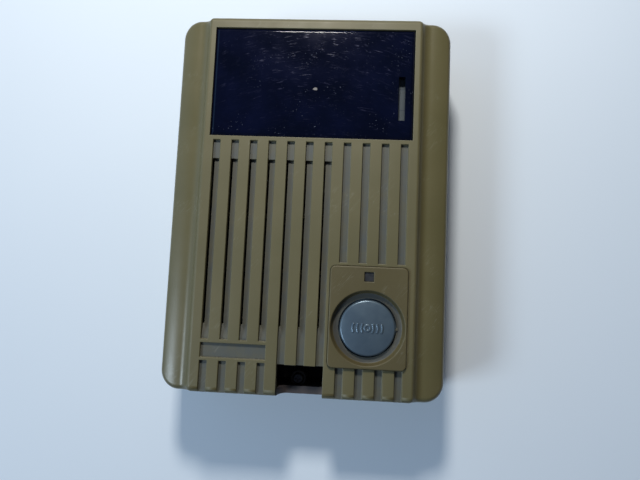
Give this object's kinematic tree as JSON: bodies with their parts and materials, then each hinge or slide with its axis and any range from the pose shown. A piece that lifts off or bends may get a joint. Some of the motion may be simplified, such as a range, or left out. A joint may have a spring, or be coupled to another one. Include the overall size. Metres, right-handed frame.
{
  "type": "intercom station",
  "caption": "Flat ribbed intercom station: sound slots over a speaker, sprung call button with indicator, lift-out black name window and a steel wall plate behind.",
  "frame": {"origin": "middle of the flat back, on the wall or the surface that the station lies on", "axes": "+X to the right of the face, +Y to its top, +Z out of the face"},
  "size_m": [0.097, 0.132, 0.031],
  "materials": {
    "case_plastic": "semi-gloss moulded, olive brown",
    "back_plastic": "matt moulded, dark brown",
    "button_plastic": "satin, blue grey",
    "window_plastic": "gloss, nearly black",
    "card": "plain paper",
    "lens_plastic": "smoky, unlit",
    "inner_plastic": "natural",
    "lamp": "tinted clear resin",
    "spring_steel": "bright wire",
    "switch_plastic": "black",
    "plunger_plastic": "white",
    "cloth": "thin black cloth",
    "gasket": "felted card",
    "zinc_steel": "zinc plated",
    "screw_steel": "zinc plated",
    "blackened_steel": "blackened",
    "screw_brass": "nickel worn to brass",
    "paper_cone": "dark paper",
    "ferrite": "dark ceramic",
    "microphone_metal": "satin can",
    "boot_rubber": "soft black",
    "board": "brown laminate",
    "coil_wrap": "wrapped winding",
    "can_sleeve": "blue sleeve",
    "resistor_paint": "tan paint",
    "terminal_plastic": "white",
    "wire_cover": "plastic insulation"
  },
  "bodies": {
    "housing": {"front_cover": "case_plastic", "button_plate": "case_plastic", "rear_case": "back_plastic", "name_card": "card", "indicator_lens": "lens_plastic", "button_guide": "inner_plastic", "lamp_spacer": "inner_plastic", "indicator_lamp": "lamp", "return_spring": "spring_steel", "switch_body": "switch_plastic", "transistors": "switch_plastic", "trimmer_body": "switch_plastic", "speaker_cloth": "cloth", "speaker_gasket": "gasket", "speaker_basket": "zinc_steel", "speaker_yoke": "zinc_steel", "speaker_top_plate": "zinc_steel", "speaker_clips": "zinc_steel", "mounting_plate": "zinc_steel", "transformer_core": "zinc_steel", "clip_screws": "screw_steel", "board_screws": "screw_steel", "case_screws": "screw_steel", "lock_screw": "blackened_steel", "terminal_screws": "screw_brass", "speaker_cone": "paper_cone", "speaker_magnet": "ferrite", "microphone": "microphone_metal", "microphone_boot": "boot_rubber", "circuit_board": "board", "transformer_coil": "coil_wrap", "capacitors": "can_sleeve", "resistors": "resistor_paint", "terminal_block": "terminal_plastic", "speaker_leads": "wire_cover", "line_leads": "wire_cover"},
    "call_button": {"call_button": "button_plastic"},
    "switch_plunger": {"switch_plunger": "plunger_plastic"},
    "name_window": {"name_window": "window_plastic"},
    "trimmer_rotor": {"trimmer_rotor": "plunger_plastic"}
  },
  "joints": [
    {"name": "button_press", "type": "slide", "parent": "housing", "child": "call_button", "axis": [0, 0, -1], "range_m": [0, 0.0015], "stiffness_N_per_m": 500, "springref_m": -0.002, "deforming": ["return_spring"]},
    {"name": "plunger_press", "type": "slide", "parent": "housing", "child": "switch_plunger", "axis": [0, 0, -1], "range_m": [0, 0.0015]},
    {"name": "window_lift", "type": "slide", "parent": "housing", "child": "name_window", "axis": [0, 0, 1], "range_m": [0, 0.006]},
    {"name": "trimmer_turn", "type": "hinge", "parent": "housing", "child": "trimmer_rotor", "pos_m": [0.02414, -0.0305, 0.005], "axis": [0, 0, -1], "range_deg": [-135, 135]}
  ],
  "couplings": [
    {"joint": "plunger_press", "follows": "button_press", "ratio": 1}
  ]
}
